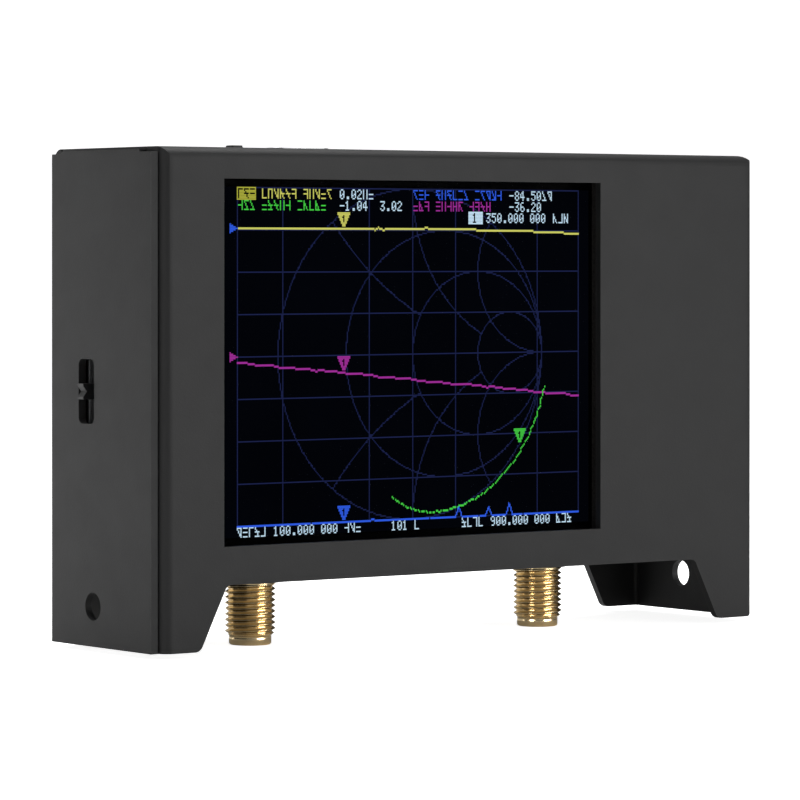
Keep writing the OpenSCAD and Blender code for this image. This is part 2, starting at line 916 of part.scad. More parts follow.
// Drawn-metal shell of the USB socket
module usb_shell() {
    color("#c3c5c8")
    translate([usb_x, usb_y, usb_top - usb_l]) difference() {
        linear_extrude(usb_l) rounded_rect(usb_w, usb_t, usb_t / 2 - 0.01);
        translate([0, 0, -1]) linear_extrude(usb_l + 2)
            rounded_rect(usb_w - 2 * usb_wall, usb_t - 2 * usb_wall, usb_t / 2 - usb_wall - 0.01);
    }
}

// Moulded block and tongue inside the USB socket
module usb_tongue() {
    block_inset = usb_wall + 0.02;
    block_l = 2.4;
    tongue_w = 6.7;
    tongue_t = 0.7;
    color("#18181a")
    translate([usb_x, usb_y, usb_top - usb_l]) {
        linear_extrude(block_l)
            rounded_rect(usb_w - 2 * block_inset, usb_t - 2 * block_inset, usb_t / 2 - block_inset - 0.01);
        block([-tongue_w / 2, -tongue_t / 2, block_l - EPS], [tongue_w / 2, tongue_t / 2, usb_l - 1]);
    }
}

// Status lights on the back of the board, behind the light holes
module status_leds() {
    color("#d8302a")
    for (drop = led_hole_drops) {
        chip(led_x, top_z - drop - led_drop, 1.25, 1.8, 0.8, 1);
    }
}

// ---- Battery -----------------------------------------------------------------

// Pouch cell glued to the inside of the back panel
module battery_cell() {
    fold_t = 1.2;
    fold_h = 3;
    color("#b7bac0") {
        slab(cell_back_y, cell_deep) translate([cell_x, cell_z]) rounded_rect(cell_w, cell_h, 2);
        block(
            [cell_x - cell_w / 2 + 3, cell_back_y - cell_deep / 2 - fold_t / 2, cell_z + cell_h / 2 - EPS],
            [cell_x + cell_w / 2 - 3, cell_back_y - cell_deep / 2 + fold_t / 2, cell_z + cell_h / 2 + fold_h]
        );
    }
}

// Adhesive pad between the cell and the back panel
module battery_pad() {
    color("#e8e4d8")
    slab(back_in_y, pad_t) translate([cell_x, cell_z]) square([cell_w - 8, cell_h - 8], center = true);
}

// Shrouded header for the battery on the back of the board
module battery_socket() {
    color("#e9e6dc")
    difference() {
        chip(socket_x, socket_z, 5.8, 7.4, 4, 1);
        block(
            [socket_x - 2.1, board_back_y + 1, socket_z - 2.9],
            [socket_x + 2.1, board_back_y + 5, socket_z + 2.9]
        );
    }
}

// Plug on the battery leads
module battery_plug() {
    color("#f2f0ea")
    block(
        [socket_x - 2, board_back_y + 1.1, socket_z - 2.8],
        [socket_x + 2, board_back_y + 6, socket_z + 2.8]
    );
}

// Quarter of a flat ring in the corner above and beside the origin
module quarter_ring(r, width) {
    intersection() {
        difference() {
            circle(r + width / 2);
            circle(r - width / 2);
        }
        square(r + width);
    }
}

// Two flat leads from the fold of the cell to the plug: each climbs out of the
// fold, runs sideways over the cell and drops to the plug
module battery_leads() {
    lead_w = 1.1;
    turn_r = 2;
    fold_y = cell_back_y - cell_deep / 2;
    start_z = cell_z + cell_h / 2 + 3;
    plug_z = socket_z + 2.8;
    for (i = [0, 1]) {
        run_z = start_z + turn_r + 0.5 + 1.5 * i;
        start_x = 16 - 3 * i;
        end_x = socket_x - 1 + 2 * i;
        color(i == 0 ? "#c22222" : "#1a1a1a")
        slab(fold_y + lead_w / 2, lead_w) {
            translate([start_x - lead_w / 2, start_z]) square([lead_w, run_z - turn_r - start_z]);
            translate([start_x + turn_r, run_z - turn_r]) mirror([1, 0]) quarter_ring(turn_r, lead_w);
            translate([start_x + turn_r, run_z - lead_w / 2])
                square([end_x - start_x - 2 * turn_r, lead_w]);
            translate([end_x - turn_r, run_z - turn_r]) quarter_ring(turn_r, lead_w);
            translate([end_x - lead_w / 2, plug_z]) square([lead_w, run_z - turn_r - plug_z]);
        }
    }
}

// ---- Label -------------------------------------------------------------------

// Rating label, let into the back panel so that its face is flush
module back_label() {
    color("#f0f0f2")
    slab(0, label_t) translate([label_x, label_z]) rounded_rect(label_w, label_h, label_r);
}

// ---- Parts list --------------------------------------------------------------

front_cover();
back_cover();
port_plate();
back_screws();
front_standoffs();
rear_standoffs();
window_gasket();
touch_panel();
lcd_panel();
backlight_frame();
lcd_flex();
screen_pads();
main_board();
rf_shield_cans();
rf_chips();
processor_chip();
support_chips();
clock_crystal();
port_1_body();
port_2_body();
port_insulators();
port_contacts();
port_nuts();
port_washers();
jog_switch_body();
jog_carrier();
jog_pin();
jog_lever();
power_switch_body();
power_switch_knob();
usb_shell();
usb_tongue();
status_leds();
battery_cell();
battery_pad();
battery_socket();
battery_plug();
battery_leads();
back_label();
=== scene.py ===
"""Looks of a handheld vector network analyzer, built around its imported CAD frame.

Lengths are in millimetres until a mesh is made, and the frame is that of the CAD:
+Z up, ports down, screen towards -Y, origin in the middle of the back panel's face.
"""
import math
import random

import bmesh
import bpy
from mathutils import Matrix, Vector


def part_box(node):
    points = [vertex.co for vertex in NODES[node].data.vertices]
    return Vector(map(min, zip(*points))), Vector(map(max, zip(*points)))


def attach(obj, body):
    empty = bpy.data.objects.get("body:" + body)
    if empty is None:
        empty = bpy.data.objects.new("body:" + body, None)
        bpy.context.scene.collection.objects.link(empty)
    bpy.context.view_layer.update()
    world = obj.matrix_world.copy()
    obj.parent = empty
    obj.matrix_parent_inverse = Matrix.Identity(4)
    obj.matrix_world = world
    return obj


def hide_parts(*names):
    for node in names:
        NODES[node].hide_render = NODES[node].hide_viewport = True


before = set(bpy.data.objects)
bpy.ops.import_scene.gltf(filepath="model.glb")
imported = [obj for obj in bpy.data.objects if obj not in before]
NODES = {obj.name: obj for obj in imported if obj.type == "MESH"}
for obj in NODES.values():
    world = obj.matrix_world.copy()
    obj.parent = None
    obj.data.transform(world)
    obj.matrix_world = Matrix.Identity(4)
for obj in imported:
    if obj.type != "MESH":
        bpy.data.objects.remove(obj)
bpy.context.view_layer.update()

MM = 0.001


def box(node):
    """Lowest and highest corner of a CAD node, in millimetres."""
    low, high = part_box(node)
    return Vector(low) / MM, Vector(high) / MM


# ---- Measures taken from the frame --------------------------------------------

case_low = box("back_cover")[0]
lcd_low, lcd_high = box("lcd_panel")
touch_low, touch_high = box("touch_panel")
label_low, label_high = box("back_label")
nut_low, nut_high = box("port_nuts")
plate_high = box("port_plate")[1]
insulator_low, insulator_high = box("port_insulators")

# Screen: a 320 by 240 raster, set in the glass as in common 2.8-inch modules
dot_pitch = 0.18
dot_columns = 320
dot_rows = 240
screen_left = lcd_low.x + 2.3
screen_top = lcd_high.z - 2.7
apparent_lift = 0.6  # the touch panel makes the picture look this much nearer
screen_y = lcd_low.y - apparent_lift
trace_height = 1.5  # of a plotted line, in dots

# Coaxial ports, 1/4-36 UNS
thread_r = 3.175
thread_pitch = 25.4 / 36
thread_depth = 0.42
port_plain_r = 2.68
port_plain_l = 1.1
port_bore_r = 2.05
port_mouth_r = 2.3
port_mouth_l = 1.9
port_flange_half = 3.175


def port_place(number):
    """Place of a port's upright axis, and the heights of its open end and its top."""
    low, high = box(f"port_{number}_body")
    insulator_play = 0.02
    return (low.x + high.x) / 2, insulator_low.y + port_bore_r - insulator_play, low.z, high.z


# ---- Materials ----------------------------------------------------------------

def scaled(colour, share):
    return tuple(min(1.0, c * share) for c in colour)


class Finish:
    """A Principled material whose inputs are driven by procedural patterns."""

    def __init__(self, name, coordinates="Object"):
        self.material = bpy.data.materials.new(name)
        self.material.use_nodes = True
        self.tree = self.material.node_tree
        self.shader = self.tree.nodes["Principled BSDF"]
        self.place = self.node("ShaderNodeTexCoord").outputs[coordinates]

    def node(self, kind, **inputs):
        made = self.tree.nodes.new(kind)
        for name, value in inputs.items():
            self.feed(made.inputs[name.replace("_", " ")], value)
        return made

    def feed(self, socket, value):
        if isinstance(value, bpy.types.NodeSocket):
            self.tree.links.new(value, socket)
        else:
            socket.default_value = value

    def set(self, name, value):
        self.feed(self.shader.inputs[name], value)

    def noise(self, size, detail=3.0, rough=0.55, stretch=(1, 1, 1)):
        """Noise from 0 to 1 whose features are about size millimetres across."""
        place = self.node("ShaderNodeMapping", Vector=self.place, Scale=stretch).outputs["Vector"]
        scale = 1 / (size * MM)
        kind = "ShaderNodeTexNoise"
        return self.node(kind, Vector=place, Scale=scale, Detail=detail, Roughness=rough).outputs["Fac"]

    def cells(self, size, feature="F1"):
        """Distance to the nearest of the scattered points, in parts of their spacing."""
        made = self.node("ShaderNodeTexVoronoi", Vector=self.place, Scale=1 / (size * MM))
        made.feature = feature
        return made.outputs["Distance"]

    def span(self, value, start, end, low=0.0, high=1.0):
        """Maps start..end of a value to low..high, clamped."""
        ends = {"From_Min": start, "From_Max": end, "To_Min": low, "To_Max": high}
        return self.node("ShaderNodeMapRange", Value=value, **ends).outputs["Result"]

    def blend(self, share, first, second):
        """Mixes two colours; each is a colour triple or a socket."""
        made = self.tree.nodes.new("ShaderNodeMix")
        made.data_type = "RGBA"
        self.feed(made.inputs["Factor"], share)
        for socket, colour in ((made.inputs["A"], first), (made.inputs["B"], second)):
            self.feed(socket, colour if isinstance(colour, bpy.types.NodeSocket) else (*colour, 1.0))
        return made.outputs["Result"]

    def times(self, first, second):
        made = self.node("ShaderNodeMath")
        made.operation = "MULTIPLY"
        self.feed(made.inputs[0], first)
        self.feed(made.inputs[1], second)
        return made.outputs["Value"]

    def edges(self, width):
        """0 on flat ground, rising towards 1 on edges tighter than width millimetres."""
        rounded = self.node("ShaderNodeBevel", Radius=width * MM)
        flat = self.node("ShaderNodeNewGeometry").outputs["Normal"]
        dot = self.node("ShaderNodeVectorMath")
        dot.operation = "DOT_PRODUCT"
        self.feed(dot.inputs[0], rounded.outputs["Normal"])
        self.feed(dot.inputs[1], flat)
        return self.span(dot.outputs["Value"], 0.995, 0.85)

    def colour(self, value, first, second, start=0.3, end=0.7):
        """Base colour that goes from first to second as a value goes from start to end."""
        self.set("Base Color", self.blend(self.span(value, start, end), first, second))

    def rough(self, value, low, high):
        """Roughness between low and high that follows a noise."""
        self.set("Roughness", self.span(value, 0.3, 0.7, low, high))

    def bump(self, height, depth):
        """Adds relief of depth millimetres on top of the relief already there."""
        made = self.node("ShaderNodeBump", Height=height, Strength=1.0, Distance=depth * MM)
        if self.shader.inputs["Normal"].is_linked:
            self.feed(made.inputs["Normal"], self.shader.inputs["Normal"].links[0].from_socket)
        self.set("Normal", made.outputs["Normal"])


def powder_coat():
    """Fine-textured satin powder coat, painted a little lighter on edges: partly wear where the coat
    thins, partly a painted highlight where edges catch light.
    """
    f = Finish("powder_coat")
    cloud = f.noise(9, 3)
    grain = f.noise(0.22, 2)
    base = f.blend(f.span(cloud, 0.35, 0.65), (0.017, 0.017, 0.0172), (0.018, 0.018, 0.0182))
    speck = f.span(f.noise(0.6, 4, 0.7), 0.68, 0.76)
    base = f.blend(f.times(speck, 0.3), base, (0.03, 0.03, 0.03))
    # Edges painted lighter: partly wear of the coat, partly a painted highlight where the edges catch
    # light.
    wear_and_edge_highlight = f.times(f.edges(0.22), f.span(f.noise(2.5, 4), 0.38, 0.66, 0.15, 0.75))
    f.set("Base Color", f.blend(wear_and_edge_highlight, base, (0.06, 0.06, 0.059)))
    f.rough(f.noise(3.5, 4), 0.5, 0.55)
    f.set("Specular IOR Level", 0.42)
    f.bump(f.noise(1.3, 2), 0.007)
    f.bump(grain, 0.014)
    return f.material


def plated(name, colour, rough, streak=0.05, stretch=(1, 1, 1), tint=0.12, depth=0.002):
    """Plated metal with fine tool marks and a slow drift of its tint."""
    f = Finish(name)
    dark = scaled(colour, 1 - 2 * tint)
    marks = f.noise(streak, 3, 0.6, stretch)
    drift = f.noise(2.2, 4)
    f.colour(drift, colour, dark, 0.35, 0.65)
    f.set("Metallic", 1.0)
    f.rough(marks, rough * 0.75, rough * 1.3)
    f.bump(marks, depth)
    return f.material


def moulded(name, colour, rough=0.45, grain=0.12, depth=0.006, spread=0.15):
    """Moulded plastic with a spark-eroded grain and faint flow marks."""
    f = Finish(name)
    dark, light = scaled(colour, 1 - spread), scaled(colour, 1 + spread)
    f.colour(f.noise(2.5, 4), dark, light)
    f.rough(f.noise(0.9, 3), rough * 0.85, rough * 1.15)
    f.bump(f.noise(grain, 2), depth)
    return f.material


def foam(name, colour, cell=0.35):
    """Open foam: small cells painted dark as painted shade in the pores, between matte walls."""
    f = Finish(name)
    cells = f.cells(cell)
    # The pores are painted darker: painted shade in the hollows of the foam.
    dark = scaled(colour, 0.35)
    f.colour(cells, dark, colour, 0.15, 0.6)
    f.rough(f.noise(1.0), 0.85, 0.98)
    f.set("Specular IOR Level", 0.2)
    f.bump(cells, 0.05)
    return f.material


def polished_black(name, colour):
    """Black glass behind the touch film, with a trace of haze."""
    f = Finish(name)
    haze = f.noise(14, 3)
    f.colour(haze, colour, scaled(colour, 1.25))
    f.rough(haze, 0.08, 0.16)
    f.set("Specular IOR Level", 0.004)
    return f.material


def touch_film():
    """Clear matte film that shows what lies behind it, with a trace of haze."""
    f = Finish("touch_film")
    haze = f.noise(10, 3)
    f.set("Base Color", (0.01, 0.01, 0.012, 1.0))
    f.rough(haze, 0.08, 0.14)
    f.set("Specular IOR Level", 0.0)
    f.set("Alpha", f.span(haze, 0.3, 0.7, 0.008, 0.014))
    f.bump(f.noise(3.0), 0.002)
    f.material.surface_render_method = "BLENDED"
    return f.material


def lit(name, colour, unevenness=0.12):
    """Lit dots of the display, a touch uneven like a real backlight."""
    f = Finish(name)
    drift = f.noise(16, 2)
    dim = scaled(colour, 1 - unevenness)
    f.set("Base Color", (0.0, 0.0, 0.0, 1.0))
    f.set("Emission Color", f.blend(f.span(drift, 0.3, 0.7), dim, colour))
    f.set("Emission Strength", 1.0)
    f.rough(f.noise(0.4), 0.5, 0.7)
    f.set("Specular IOR Level", 0.0)
    return f.material


def lamp_lens(name, hot, glow, rim, strength):
    """Clear lens of a lamp, seen along Y: a hot spot, a glow and a deep red rim."""
    f = Finish(name, "Generated")
    flat = f.node("ShaderNodeVectorMath", Vector=f.place)
    flat.operation = "MULTIPLY"
    flat.inputs[1].default_value = (1.0, 0.0, 1.0)
    ball = f.node("ShaderNodeVectorMath", Vector=flat.outputs["Vector"])
    ball.operation = "DISTANCE"
    ball.inputs[1].default_value = (0.5, 0.0, 0.5)
    away = ball.outputs["Value"]
    f.colour(away, (0.5, 0.2, 0.2), (0.2, 0.05, 0.05), 0.1, 0.6)
    f.rough(f.noise(0.4), 0.1, 0.25)
    outer = f.blend(f.span(away, 0.2, 0.5), glow, rim)
    f.set("Emission Color", f.blend(f.span(away, 0.05, 0.12), hot, outer))
    f.set("Emission Strength", f.span(away, 0.1, 0.6, strength, strength * 0.6))
    return f.material


def label_film():
    """Satin white label film with a very faint mottle."""
    f = Finish("label_film")
    mottle = f.noise(0.9, 4)
    f.colour(mottle, (0.88, 0.88, 0.895), (0.9, 0.9, 0.91))
    f.rough(f.noise(4), 0.32, 0.46)
    f.bump(f.noise(2.6, 2), 0.0015)
    return f.material


def printed_ink():
    """Dense black print with slightly thin spots."""
    f = Finish("printed_ink")
    f.colour(f.noise(0.18, 3), (0.012, 0.012, 0.013), (0.06, 0.06, 0.062), 0.6, 0.8)
    f.rough(f.noise(0.5), 0.45, 0.6)
    return f.material


def solder_mask():
    """Dark blue solder mask over copper tracks that run both ways."""
    f = Finish("solder_mask")
    tracks = []
    for stretch in ((0.05, 1, 1), (1, 1, 0.05)):
        tracks.append(f.span(f.noise(0.8, 0, 0.5, stretch), 0.55, 0.58))
    copper = f.blend(tracks[0], (0.010, 0.022, 0.050), (0.018, 0.042, 0.085))
    f.set("Base Color", f.blend(tracks[1], copper, (0.018, 0.042, 0.085)))
    f.rough(f.noise(1.5), 0.22, 0.34)
    f.bump(tracks[0], 0.02)
    f.bump(tracks[1], 0.02)
    return f.material


def pouch_foil():
    """Laminated foil of a pouch cell, with shallow creases."""
    f = Finish("pouch_foil")
    crease = f.cells(6, "DISTANCE_TO_EDGE")
    f.colour(f.noise(5), (0.5, 0.51, 0.53), (0.62, 0.63, 0.65))
    f.set("Metallic", 0.85)
    f.rough(f.noise(1.2), 0.28, 0.42)
    f.bump(crease, 0.08)
    return f.material


def pale_floor():
    """Plain studio paper with barely visible fibre, dimmer in what it casts on the
    object than it looks to the camera."""
    f = Finish("studio_paper")
    paper = f.blend(f.noise(60, 3), (0.9, 0.9, 0.9), (0.92, 0.92, 0.92))
    seen = f.node("ShaderNodeLightPath").outputs["Is Camera Ray"]
    f.set("Base Color", f.blend(seen, (0.65, 0.65, 0.65), paper))
    f.set("Emission Color", (1.0, 1.0, 1.0, 1.0))
    f.set("Emission Strength", f.span(seen, 0.0, 1.0, 0.08, 0.9))
    f.rough(f.noise(5), 0.7, 0.85)
    f.bump(f.noise(0.8), 0.02)
    return f.material


COAT = powder_coat()
BLACK_STEEL = plated("black_steel", (0.034, 0.034, 0.035), 0.34, 0.09, tint=0.2, depth=0.003)
SCREW_STEEL = plated("screw_steel", (0.075, 0.075, 0.077), 0.3, 0.09, tint=0.2, depth=0.003)
BRIGHT_STEEL = plated("bright_steel", (0.62, 0.63, 0.64), 0.26)
BRASS = plated("brass", (0.72, 0.55, 0.26), 0.28)
PORT_GOLD = plated("port_gold", (0.97, 0.76, 0.44), 0.2, 0.08, (1, 1, 4), 0.08, 0.0006)
CONTACT_GOLD = plated("contact_gold", (0.86, 0.62, 0.24), 0.16)
TIN = plated("tinned_steel", (0.55, 0.56, 0.57), 0.34, 0.3)
BLACK_NYLON = moulded("black_nylon", (0.012, 0.012, 0.013), 0.38)
GREY_NYLON = moulded("grey_nylon", (0.06, 0.062, 0.065), 0.42)
IVORY_NYLON = moulded("ivory_nylon", (0.74, 0.7, 0.6), 0.4)
FLUOROPOLYMER = moulded("fluoropolymer", (0.8, 0.78, 0.72), 0.35, 0.3, 0.003, 0.06)
CHIP_EPOXY = moulded("chip_epoxy", (0.022, 0.022, 0.023), 0.55, 0.08, 0.004)
WHITE_FRAME = moulded("white_frame", (0.7, 0.7, 0.69), 0.4)
POLYIMIDE = moulded("polyimide", (0.42, 0.17, 0.035), 0.22, 0.8, 0.004)
RED_SLEEVE = moulded("red_sleeve", (0.4, 0.02, 0.02), 0.4)
CERAMIC = moulded("ceramic", (0.72, 0.66, 0.56), 0.4)
GASKET_FOAM = foam("gasket_foam", (0.016, 0.0145, 0.0135))
GREY_FOAM = foam("grey_foam", (0.06, 0.06, 0.062), 0.6)
WHITE_TAPE = foam("white_tape", (0.75, 0.72, 0.65), 0.5)


# ---- Mesh tools ---------------------------------------------------------------

def rectangle(x0, z0, x1, z1):
    """Counter-clockwise (x, z) corners, as seen from -Y."""
    return [(x0, z0), (x1, z0), (x1, z1), (x0, z1)]


class Shape:
    """Collects vertices, in millimetres, and faces for one piece."""

    def __init__(self):
        self.verts = []
        self.faces = []

    def add(self, verts, faces):
        start = len(self.verts)
        self.verts.extend(tuple(v) for v in verts)
        self.faces.extend([start + i for i in face] for face in faces)

    def block(self, low, high):
        """Box between two corners."""
        self.prism(rectangle(low[0], low[2], high[0], high[2]), high[1], low[1])

    def skin(self, rings, closed=False):
        """Joins each ring of points to the next. The last one meets the first if closed
        is set, and otherwise both ends are capped."""
        size = len(rings[0])
        verts = [point for ring in rings for point in ring]
        faces = []
        for j in range(len(rings) if closed else len(rings) - 1):
            k = (j + 1) % len(rings)
            for i in range(size):
                n = (i + 1) % size
                faces.append((j * size + i, j * size + n, k * size + n, k * size + i))
        if not closed:
            faces += [list(range(size))[::-1], list(range(len(verts) - size, len(verts)))]
        self.add(verts, faces)

    def prism(self, outline, y_back, y_front):
        """Outline of (x, z) points, counter-clockwise as seen from -Y, made solid."""
        self.skin([[(x, y, z) for x, z in outline] for y in (y_back, y_front)])

    def sheet(self, outline, y, back=False):
        """Flat outline of (x, z) points that faces -Y, or +Y if back is set."""
        face = list(range(len(outline)))
        self.add([(x, y, z) for x, z in outline], [face[::-1] if back else face])

    def spin(self, x, y, rows, steps, radius=lambda r, z, angle: r):
        """Turns a closed outline of (r, z) rows about the vertical line at x, y.
        radius(r, z, angle) may vary a row around the turn."""
        rings = []
        for r, z in rows:
            ring = []
            for i in range(steps):
                angle = 2 * math.pi * i / steps
                out = radius(r, z, angle)
                ring.append((x + out * math.cos(angle), y + out * math.sin(angle), z))
            rings.append(ring)
        self.skin(rings, closed=True)

    def mesh(self, name):
        made = bpy.data.meshes.new(name)
        made.from_pydata([(x * MM, y * MM, z * MM) for x, y, z in self.verts], [], self.faces)
        return made

    def make(self, name, material, body="root", replaces=(), edge=0.0, sharp=35):
        """Piece on a body of the record. Edges steeper than sharp degrees stay crisp;
        edge is how far they are eased, in millimetres."""
        return finished(name, self.mesh(name), material, body, replaces, edge, sharp)


def linked(name, data):
    """New object, placed in the scene."""
    made = bpy.data.objects.new(name, data)
    bpy.context.scene.collection.objects.link(made)
    return made


def turn_outwards(mesh):
    """Makes every face of a closed mesh look out."""
    work = bmesh.new()
    work.from_mesh(mesh)
    bmesh.ops.recalc_face_normals(work, faces=work.faces)
    work.to_mesh(mesh)
    work.free()


def finished(name, mesh, material, body, replaces, edge, sharp):
    """Turns a mesh into a piece with outward faces, eased edges and its body."""
    if replaces or edge:
        turn_outwards(mesh)
    for face in mesh.polygons:
        face.use_smooth = True
    mesh.set_sharp_from_angle(angle=math.radians(sharp))
    mesh.materials.append(material)
    piece = linked(name, mesh)
    if edge:
        ease = piece.modifiers.new("eased_edges", "BEVEL")
        ease.width = edge * MM
        ease.segments = 2
        ease.limit_method = "ANGLE"
        ease.angle_limit = math.radians(sharp - 5)
        ease.harden_normals = True
    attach(piece, body)
    if replaces:
        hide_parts(*replaces)
    return piece


def dressed(node, material, edge=0.12, sharp=35, body="root"):
    """Stands a welded copy with eased edges in for a CAD node."""
    weld = 0.001 * MM
    flat = math.radians(0.6)
    work = bmesh.new()
    work.from_mesh(NODES[node].data)
    bmesh.ops.remove_doubles(work, verts=work.verts, dist=weld)
    bmesh.ops.dissolve_limit(work, angle_limit=flat, verts=work.verts, edges=work.edges)
    work.verts.index_update()
    verts = [v.co.copy() for v in work.verts]
    faces = [[v.index for v in face.verts] for face in work.faces]
    work.free()
    mesh = bpy.data.meshes.new(node + "_shown")
    mesh.from_pydata(verts, [], faces)
    return finished(node + "_shown", mesh, material, body, (node,), edge, sharp)


def rounded_outline(x, z, w, h, r, steps=8):
    """Counter-clockwise (x, z) outline of a rectangle with round corners."""
    points = []
    for cx, cz, start in ((1, 1, 0), (-1, 1, 90), (-1, -1, 180), (1, -1, 270)):
        for i in range(steps + 1):
            angle = math.radians(start + 90 * i / steps)
            points.append((
                x + cx * (w / 2 - r) + r * math.cos(angle),
                z + cz * (h / 2 - r) + r * math.sin(angle),
            ))
    return points


# ---- Case ---------------------------------------------------------------------

def build_case():
    dressed("back_cover", COAT, 0.14)
    dressed("front_cover", COAT, 0.14)
    dressed("port_plate", COAT, 0.1)
    dressed("window_gasket", GASKET_FOAM, 0.1)


def cross_recess(turn, centre, depth_y):
    """Tapered cross that is cut from a screw head."""
    above = 0.3
    outer_wing = (1.85, 0.42)
    inner_wing = (0.8, 0.26)
    shape = Shape()
    for wing in (0, 90):
        angle = math.radians(turn + wing)
        along = Vector((math.cos(angle), 0, math.sin(angle)))
        across = Vector((-math.sin(angle), 0, math.cos(angle)))
        rings = []
        for y, (half_l, half_t) in ((above, outer_wing), (depth_y, inner_wing)):
            middle = centre + Vector((0, y, 0))
            rings.append([
                middle + along * (sl * half_l) + across * (st * half_t)
                for sl, st in ((-1, -1), (1, -1), (1, 1), (-1, 1))
            ])
        shape.skin(rings)
    return shape


def screw_blank(centre, head_r, shank_r, length):
    """Countersunk screw without its recess; its (r, y) rows turn about the Y axis."""
    cone_l = head_r - shank_r
    point_l = 0.4
    rows = [
        (head_r - 0.55, 0.0), (head_r - 0.14, -0.02), (head_r, -0.13),
        (shank_r, -cone_l), (shank_r, point_l - length), (shank_r - 0.35, -length),
    ]
    steps = 64
    angles = [2 * math.pi * i / steps for i in range(steps)]
    shape = Shape()
    shape.skin([
        [centre + Vector((r * math.cos(angle), y, r * math.sin(angle))) for angle in angles]
        for r, y in rows
    ])
    return shape


def raw_object(name, shape):
    """Bare object with outward faces, for cutting with."""
    mesh = shape.mesh(name)
    turn_outwards(mesh)
    return linked(name, mesh)


def cut(blank, tool):
    """Mesh of one raw object less another; both are removed."""
    carve = blank.modifiers.new("carve", "BOOLEAN")
    carve.operation = "DIFFERENCE"
    carve.solver = "EXACT"
    carve.use_self = True
    carve.object = tool
    bpy.context.view_layer.update()
    depsgraph = bpy.context.evaluated_depsgraph_get()
    mesh = bpy.data.meshes.new_from_object(blank.evaluated_get(depsgraph))
    for spent in (blank, tool):
        bpy.data.objects.remove(spent)
    return mesh


def build_screws():
    low, high = box("back_screws")
    head_r = 2.75
    play = 0.06
    shank_r = 1.47
    length = 6.4
    recess_l = 1.7
    turns = (17, 58, 71, 34)
    places = [
        Vector((x, -play, z))
        for x in (low.x + head_r, high.x - head_r)
        for z in (high.z - head_r, low.z + head_r)
    ]
    for number, (place, turn) in enumerate(zip(places, turns), 1):
        blank = raw_object("screw_blank", screw_blank(place, head_r - play, shank_r, length))
        tool = raw_object("screw_recess", cross_recess(turn, place, -recess_l))
        name = f"case_screw_{number}"
        finished(name, cut(blank, tool), SCREW_STEEL, "root", ("back_screws",), 0.08, 38)


# ---- Ports --------------------------------------------------------------------

def thread_radius(start_z, end_z):
    """Radius of a helical thread that runs out at both ends."""
    smallest = port_plain_r - 0.05
    crest_half = 0.1
    flank = 0.8
    run_out_turns = 0.8
    lead_in_slope = 1.1

    def radius(r, z, angle):
        if not start_z <= z <= end_z or r < thread_r - 0.01:
            return r
        turn = (z / thread_pitch - angle / (2 * math.pi)) % 1.0
        away = abs(turn - 0.5) * 2
        fall = min(1.0, max(0.0, (away - crest_half) / flank))
        run_out = min(1.0, (end_z - z) / (run_out_turns * thread_pitch))
        lead_in = smallest + (z - start_z) * lead_in_slope
        return min(thread_r - thread_depth * fall * run_out, lead_in)
    return radius


def arc_block(shape, x, y, inner, outer, start, end, low_z, high_z, steps=8):
    """Part of a tube between two angles, in degrees."""
    section = ((inner, low_z), (outer, low_z), (outer, high_z), (inner, high_z))
    rings = []
    for i in range(steps + 1):
        angle = math.radians(start + (end - start) * i / steps)
        rings.append([(x + r * math.cos(angle), y + r * math.sin(angle), z) for r, z in section])
    shape.skin(rings)


def build_port_shell(number):
    """Threaded tube with a plain end, a mouth and a smooth neck under the nut."""
    x, y, end_z, _ = port_place(number)
    node = f"port_{number}_body"
    plain_z = end_z + port_plain_l
    neck_r = thread_r - 0.225
    thread_top = nut_low.z - 0.02
    ease = 0.16
    row_gap = 0.035
    step = 0.01

    rows = [(port_mouth_r + 0.12, end_z), (port_plain_r - ease, end_z), (port_plain_r, end_z + ease)]
    rows += [(port_plain_r, plain_z - 0.2), (port_plain_r - 0.05, plain_z)]
    count = int((thread_top - plain_z) / row_gap)
    threaded_l = thread_top - plain_z - 2 * step
    rows += [(thread_r, plain_z + step + threaded_l * i / count) for i in range(count + 1)]
    rows += [(neck_r, thread_top + step), (neck_r, plate_high.z), (port_bore_r, plate_high.z)]
    rows += [(port_bore_r, end_z + port_mouth_l), (port_mouth_r, end_z + port_mouth_l - 0.02)]
    rows += [(port_mouth_r, end_z + 0.14)]
    shell = Shape()
    shell.spin(x, y, rows, 96, thread_radius(plain_z, thread_top))
    shell.make(f"port_{number}_shell", PORT_GOLD, "root", (node,), 0.0, 75)


def build_port_flange(number):
    """Square flange inside the case, with four legs that straddle the board."""
    x, y, _, legs_top = port_place(number)
    flange_top = insulator_high.z
    half = port_flange_half

    def square(r, z, angle):
        return r if r < half else half / max(abs(math.cos(angle)), abs(math.sin(angle)))

    flange = Shape()
    flange.spin(x, y, [
        (port_bore_r, plate_high.z), (half, plate_high.z),
        (half, flange_top), (port_bore_r, flange_top),
    ], 96, square)
    leg = 1.0
    front_leg_y = y - 0.6
    leg_gap = 1.6
    for side in (-1, 1):
        leg_x = x + side * (half - leg / 2)
        for leg_y in (front_leg_y, front_leg_y + leg + leg_gap):
            low = (leg_x - leg / 2, leg_y, flange_top - 0.01)
            flange.block(low, (leg_x + leg / 2, leg_y + leg, legs_top))
    flange.make(f"port_{number}_flange", PORT_GOLD, "root", (), 0.08)


def build_port_insulator(number):
    x, y, end_z, _ = port_place(number)
    face_z = end_z + port_mouth_l
    flange_top = insulator_high.z
    bore = 0.65
    outer = port_bore_r - 0.03
    insulator = Shape()
    insulator.spin(x, y, [
        (bore, face_z + 0.08), (bore + 0.1, face_z), (port_bore_r - 0.3, face_z + 0.02),
        (outer, face_z + 0.14), (outer, flange_top), (bore, flange_top),
    ], 64)
    name = f"port_{number}_insulator"
    insulator.make(name, FLUOROPOLYMER, "root", ("port_insulators",), 0.0, 40)


